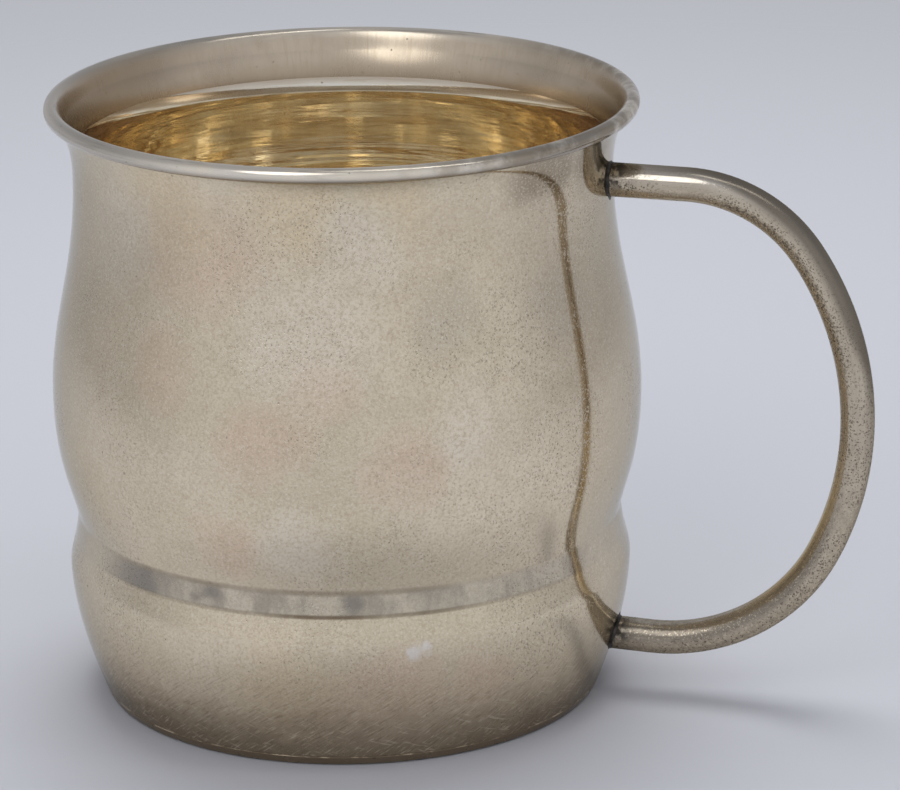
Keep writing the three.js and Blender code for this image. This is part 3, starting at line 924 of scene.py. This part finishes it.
def handle_silver():
    s = Shader("pitted_silver_wire")
    facing_x, _, facing_z = s.facing()
    cloud = s.ramp(s.noise(0.12, 4, 0.55), 0.35, 0.68)
    # Rubbing leaves streaks along the wire
    streak_place = s.combine(s.times(facing_x, 4.0), s.times(facing_z, 4.0), s.times(s.z, 0.04))
    streak = s.ramp(s.noise(1.3, 3, 0.6, streak_place), 0.35, 0.65)
    # The upper side is cleaner, and painted lighter so that the highlight falling on it shows white
    rubbed_and_highlight_side = s.ramp(facing_z, 0.1, 0.6)
    colour = s.mix(s.times(rubbed_and_highlight_side, 0.8), WIRE_GREY, SILVER_CLEAN)
    colour = s.tinted(colour, WIRE_DULL, s.plus(streak, cloud), 0.36)
    # The underside is duller, and so is the lower half
    under = s.ramp(facing_z, 0.25, -0.45)
    colour = s.tinted(colour, SILVER_TARNISHED, under, 0.6)
    low_down = s.ramp(s.z, 45.0, 12.0)
    colour = s.tinted(colour, WIRE_DULL, low_down, 0.12)
    # How a place faces, seen from the loop's middle: -1 on the wire's inner side and 1 on its outer side
    loop_x = s.plus(s.x, -LOOP_MIDDLE_X)
    loop_z = s.plus(s.z, -LOOP_MIDDLE_Z)
    loop_reach = s.math("SQRT", s.plus(s.times(loop_x, loop_x), s.times(loop_z, loop_z)))
    facing_loop = s.plus(s.times(facing_x, loop_x), s.times(facing_z, loop_z))
    facing_out = s.math("DIVIDE", facing_loop, loop_reach)
    corner = s.math("DIVIDE", s.times(loop_x, loop_z), s.times(loop_reach, loop_reach))
    # Painted shade: the outer side is darkened, most of all on the upper bend, in place of the dark
    # reflection from above
    on_bend = s.ramp(corner, 0.20, 0.46)
    outer = s.ramp(s.plus(facing_out, s.times(on_bend, 0.45)), 0.45, 1.0)
    outer = s.times(outer, s.ramp(corner, -0.05, 0.30, 0.4, 1.0))
    colour = s.tinted(colour, WIRE_TARNISH_AND_SHADE, outer, 0.9)
    mottle = s.ramp(s.noise(1.3, 4, 0.7), 0.38, 0.66)
    colour = s.mix(s.times(mottle, s.plus(s.times(low_down, 0.24), 0.06)), colour, WIRE_TARNISH_AND_SHADE)
    # The side towards the body is a duller colour above, and painted bright yellow below: painted light,
    # as if lit by the bowl beside it
    inside = s.times(s.ramp(facing_x, -0.25, -0.9), s.ramp(s.z, 22.0, 36.0))
    colour = s.tinted(colour, WIRE_DULL, inside, 0.75)
    bowl_side_light = s.times(s.ramp(facing_x, -0.35, -0.8), s.ramp(s.z, 32.0, 20.0))
    colour = s.tinted(colour, SILVER_YELLOW, bowl_side_light, 0.75)
    # Painted shade: the lower bend is darkened on its inner side, and the lower arm above and below
    inner_low = s.times(s.ramp(facing_out, 0.15, -0.35), s.ramp(facing_out, -0.95, -0.72))
    inner_low = s.times(inner_low, s.ramp(s.z, 30.0, 15.0))
    arm_bottom = s.times(s.ramp(facing_z, -0.55, -0.95), s.ramp(s.z, 14.0, 8.0))
    low_shade = s.most(s.times(inner_low, 0.8), s.times(arm_bottom, 0.6))
    colour = s.mix(low_shade, colour, WIRE_TARNISH_AND_SHADE)
    # Pits, few of them on top, and a line of them inside the upper bend
    gathered = s.ramp(s.noise(0.16, 3, 0.5), 0.34, 0.52, 0.35, 1.0)
    gathered = s.times(gathered, s.ramp(facing_z, 0.35, -0.10, 0.15, 1.0))
    ragged_place = s.warped(2.2, 0.5)
    larger_pits = pits(s, ragged_place, 2.3, 0.36, 0.75)
    smaller_pits = pits(s, ragged_place, 4.0, 0.40, 0.8)
    specks = s.times(s.most(larger_pits, smaller_pits), gathered)
    pit_line = s.ramp(s.math("ABSOLUTE", s.plus(facing_out, 0.45)), 0.30, 0.08)
    pit_line = s.times(pit_line, s.ramp(corner, 0.15, 0.35))
    speckle = s.ramp(s.noise(3.2, 3, 0.6), 0.46, 0.58)
    specks = s.most(specks, s.times(pit_line, speckle))
    colour = s.tinted(colour, PIT_DARK, specks, 0.75)
    flecks = s.ramp(s.noise(4.0, 2, 0.6), 0.54, 0.70)
    fleck_share = s.most(s.times(under, 0.5), s.times(low_down, 0.45))
    colour = s.mix(s.times(flecks, fleck_share), colour, SILVER_PALE)
    # Heat stain by the two joints
    blotch = s.ramp(s.noise(0.9, 4, 0.65), 0.40, 0.56)
    stain = s.times(s.ramp(s.from_axis(), 33.8, 31.2), blotch)
    stain = s.times(stain, s.ramp(facing_z, -0.5, 0.2, 0.35, 1.0))
    colour = s.tinted(colour, SOLDER_DARK, stain, 0.85)
    rough = s.total(0.08, (cloud, 0.05), (low_down, 0.10), (outer, 0.14), (specks, 0.3), (stain, 0.2))
    dents = s.noise(0.35, 2, 0.5)
    height = s.total(0.0, (dents, 0.010), (specks, -0.03), (s.times(mottle, low_down), -0.006))
    return s.finish(colour, rough, s.relief(height), edge=WIRE_EDGE_TINT)


def gilt():
    s = Shader("turned_gilt")
    cloud = s.ramp(s.noise(0.07, 4, 0.55), 0.35, 0.68)
    run = s.plus(s.z, s.from_axis())
    around = unrolled(s, BELLY_RADIUS)
    rings = s.noise(0.70, 2, 0.5, s.combine(s.times(around, 0.02), 0.0, run))
    streaks = s.noise(1.5, 3, 0.6, s.combine(s.times(around, 0.09), 0.0, run))
    colour = s.mix(s.times(cloud, 0.6), GILT, GILT_DEEP)
    colour = s.mix(s.ramp(streaks, 0.50, 0.62, 0.0, 0.5), colour, GILT_DULL)
    colour = s.mix(s.ramp(streaks, 0.47, 0.37, 0.0, 0.8), colour, GILT_BRIGHT)
    edge = s.plus(s.z, s.times(s.noise(0.35, 3, 0.6), 0.3))
    on_floor = s.ramp(s.z, 3.0, 1.3)
    colour = s.tinted(colour, GILT_FLOOR, on_floor, 0.7)
    thin = s.ramp(edge, gilt_top - 1.1, gilt_top + 0.2)
    colour = s.tinted(colour, GILT_WASH, thin, 0.75)
    specks = pits(s, s.millimetres, 0.8, 0.10, 0.3)
    colour = s.tinted(colour, PIT_DARK, specks, 0.5)
    rough = s.total(0.025, (cloud, 0.03))
    height = s.times(rings, s.ramp(s.z, gilt_top, gilt_top - 4.0, 0.0, 0.07))
    height = s.total(height, (specks, -0.01))
    return s.finish(colour, rough, s.relief(height), metallic=0.975)


def solder():
    s = Shader("oxidised_solder")
    cloud = s.ramp(s.noise(0.9, 4, 0.6), 0.35, 0.7)
    colour = s.mix(cloud, SOLDER_DARK, SOLDER_GREY)
    lumps = s.noise(2.2, 3, 0.6)
    rough = s.total(0.38, (cloud, 0.2))
    return s.finish(colour, rough, s.relief(s.times(lumps, 0.05)), metallic=0.7)


def dress(piece, material):
    piece.data.materials.clear()
    piece.data.materials.append(material)


solder_material = solder()
dress(body_shell, body_silver())
body_shell.data.materials.append(lip_silver())
for polygon in body_shell.data.polygons:
    polygon.material_index = 1 if polygon.index >= inside_faces_start else 0
dress(rim_wire, rim_silver())
dress(base_plate, base_silver())
dress(base_seam, seam_silver())
dress(gilt_lining, gilt())
dress(handle, handle_silver())
dress(upper_bead, solder_material)
dress(lower_bead, solder_material)

# Floor: a disc of pale paper that fades into the tent, like a seamless sweep
FLOOR_RADIUS = 1.0
FLOOR_DROP = 0.0001
FLOOR_SIDES = 96
FLOOR_COLOUR = (0.63, 0.643, 0.69, 1)
FLOOR_ROUGHNESS = 0.8
FADE_MIDDLE_Y_MM = 60.0
FADE_START_MM = 60.0
FADE_END_MM = 400.0
floor_mesh = bpy.data.meshes.new("floor")
floor_edge = []
for side in range(FLOOR_SIDES):
    angle = 2 * math.pi * side / FLOOR_SIDES
    floor_edge.append((FLOOR_RADIUS * math.cos(angle), FLOOR_RADIUS * math.sin(angle), -FLOOR_DROP))
floor_mesh.from_pydata(floor_edge, [], [tuple(range(FLOOR_SIDES))])
floor = bpy.data.objects.new("floor", floor_mesh)
bpy.context.scene.collection.objects.link(floor)
paper = Shader("pale_paper")
paper.finish(FLOOR_COLOUR, FLOOR_ROUGHNESS, metallic=0.0)
clear = paper.nodes.new("ShaderNodeBsdfTransparent")
sweep = paper.nodes.new("ShaderNodeMixShader")
fade_middle = (0, FADE_MIDDLE_Y_MM, 0)
from_middle = paper.vector("DISTANCE", paper.millimetres, fade_middle, output="Value")
paper.put(paper.ramp(from_middle, FADE_START_MM, FADE_END_MM), sweep.inputs["Fac"])
paper.links.new(paper.surface.outputs["BSDF"], sweep.inputs[1])
paper.links.new(clear.outputs["BSDF"], sweep.inputs[2])
paper.links.new(sweep.outputs["Shader"], paper.nodes["Material Output"].inputs["Surface"])
dress(floor, paper.material)


# Lights: places and sizes in metres, power in watts
def softbox(name, place, aim, width, depth, power, mirrored=True):
    """An oval lamp that faces its aim. Metal shows it only where it is mirrored."""
    light = bpy.data.lights.new(name, "AREA")
    light.shape = "ELLIPSE"
    light.size = width
    light.size_y = depth
    light.energy = power
    lamp = bpy.data.objects.new(name, light)
    lamp.location = place
    lamp.rotation_mode = "QUATERNION"
    lamp.rotation_quaternion = (Vector(aim) - Vector(place)).to_track_quat("-Z", "Y")
    lamp.visible_glossy = mirrored
    bpy.context.scene.collection.objects.link(lamp)


CUP_MIDDLE = (0, 0, 0.05)
PANEL_COUNT = 4
PANEL_FIRST_X = 0.16
PANEL_SPACING = 0.22
softbox("front_softbox", (-0.27, -1.02, 1.04), CUP_MIDDLE, width=0.68, depth=1.0, power=2.0)
for panel in range(PANEL_COUNT):
    panel_place = (PANEL_FIRST_X + PANEL_SPACING * panel, -0.12, 1.35)
    softbox(f"top_panel_{panel}", panel_place, CUP_MIDDLE, width=0.13, depth=0.5, power=0.2)
softbox(
    "overhead_diffuser", (-0.22, 0.42, 0.95), (0, 0, 0), width=0.5, depth=0.5, power=1.0, mirrored=False
)
softbox(
    "tent_roof", (-0.06, 0.5, 1.6), (-0.06, 0.5, 0), width=1.0, depth=1.0, power=11.6, mirrored=False
)

# World: a tent that is brightest in front, dimmer behind and dimmest overhead
# Each stop has a height, from 0 straight down to 1 straight up, and a level
TENT_FRONT = (
    (0.0, 0.58), (0.49, 0.60), (0.60, 0.62), (0.79, 0.57), (0.90, 0.50), (0.96, 0.42), (1.0, 0.36),
)
TENT_BACK = (
    (0.0, 0.46), (0.46, 0.46), (0.50, 0.48), (0.56, 0.47), (0.62, 0.43), (0.72, 0.37), (1.0, 0.36),
)
TENT_TINT = (0.965, 0.985, 1.06)
FRONT_FADE_START = -0.15
FRONT_FADE_END = 0.65
world = bpy.data.worlds.new("studio_tent")
world.use_nodes = True
bpy.context.scene.world = world
nodes = world.node_tree.nodes
links = world.node_tree.links
direction = nodes.new("ShaderNodeTexCoord")
direction_parts = nodes.new("ShaderNodeSeparateXYZ")
links.new(direction.outputs["Generated"], direction_parts.inputs[0])
height_share = nodes.new("ShaderNodeMapRange")
links.new(direction_parts.outputs["Z"], height_share.inputs["Value"])
height_share.inputs["From Min"].default_value = -1.0


def tent_side(stops):
    ramp = nodes.new("ShaderNodeValToRGB")
    links.new(height_share.outputs["Result"], ramp.inputs["Fac"])
    for position, _ in stops[2:]:
        ramp.color_ramp.elements.new(position)
    for element, (position, level) in zip(ramp.color_ramp.elements, stops):
        element.position = position
        element.color = (*[level * tint for tint in TENT_TINT], 1)
    return ramp.outputs["Color"]


towards_front = nodes.new("ShaderNodeVectorMath")
towards_front.operation = "DOT_PRODUCT"
links.new(direction.outputs["Generated"], towards_front.inputs[0])
towards_front.inputs[1].default_value = FRONT
front_share = nodes.new("ShaderNodeMapRange")
front_share.interpolation_type = "SMOOTHSTEP"
links.new(towards_front.outputs["Value"], front_share.inputs["Value"])
front_share.inputs["From Min"].default_value = FRONT_FADE_START
front_share.inputs["From Max"].default_value = FRONT_FADE_END
tent_mix = nodes.new("ShaderNodeMix")
tent_mix.data_type = "RGBA"
links.new(front_share.outputs["Result"], tent_mix.inputs["Factor"])
links.new(tent_side(TENT_BACK), tent_mix.inputs["A"])
links.new(tent_side(TENT_FRONT), tent_mix.inputs["B"])
background = nodes["Background"]
links.new(tent_mix.outputs["Result"], background.inputs["Color"])
background.inputs["Strength"].default_value = 1.0

# The inside of the cup reflects itself many times
BOUNCES = 32
bpy.context.scene.cycles.max_bounces = BOUNCES
bpy.context.scene.cycles.glossy_bounces = BOUNCES

# Camera
azimuth = math.radians(CAMERA_AZIMUTH_DEG)
elevation = math.radians(CAMERA_ELEVATION_DEG)
target = Vector((0, 0, CAMERA_TARGET_HEIGHT)) * MM
back = Vector((
    math.sin(azimuth) * math.cos(elevation),
    -math.cos(azimuth) * math.cos(elevation),
    math.sin(elevation),
))
forward = -back
right = Vector((math.cos(azimuth), math.sin(azimuth), 0))
up = right.cross(forward)
pan = Matrix.Rotation(math.radians(CAMERA_PAN_DEG), 3, up)
forward, right = pan @ forward, pan @ right
tilt = Matrix.Rotation(math.radians(CAMERA_TILT_DEG), 3, right)
forward, up = tilt @ forward, tilt @ up
roll = Matrix.Rotation(math.radians(CAMERA_ROLL_DEG), 3, forward)
right, up = roll @ right, roll @ up
camera_data = bpy.data.cameras.new("camera")
camera_data.sensor_fit = "HORIZONTAL"
camera_data.sensor_width = SENSOR_WIDTH
camera_data.lens = CAMERA_LENS
camera_data.clip_start = CLIP_START
camera = bpy.data.objects.new("camera", camera_data)
turn = Matrix((right, up, -forward)).transposed().to_4x4()
camera.matrix_world = Matrix.Translation(target + back * CAMERA_DISTANCE * MM) @ turn
bpy.context.scene.collection.objects.link(camera)
bpy.context.scene.camera = camera

bpy.context.scene.view_settings.view_transform = "Standard"
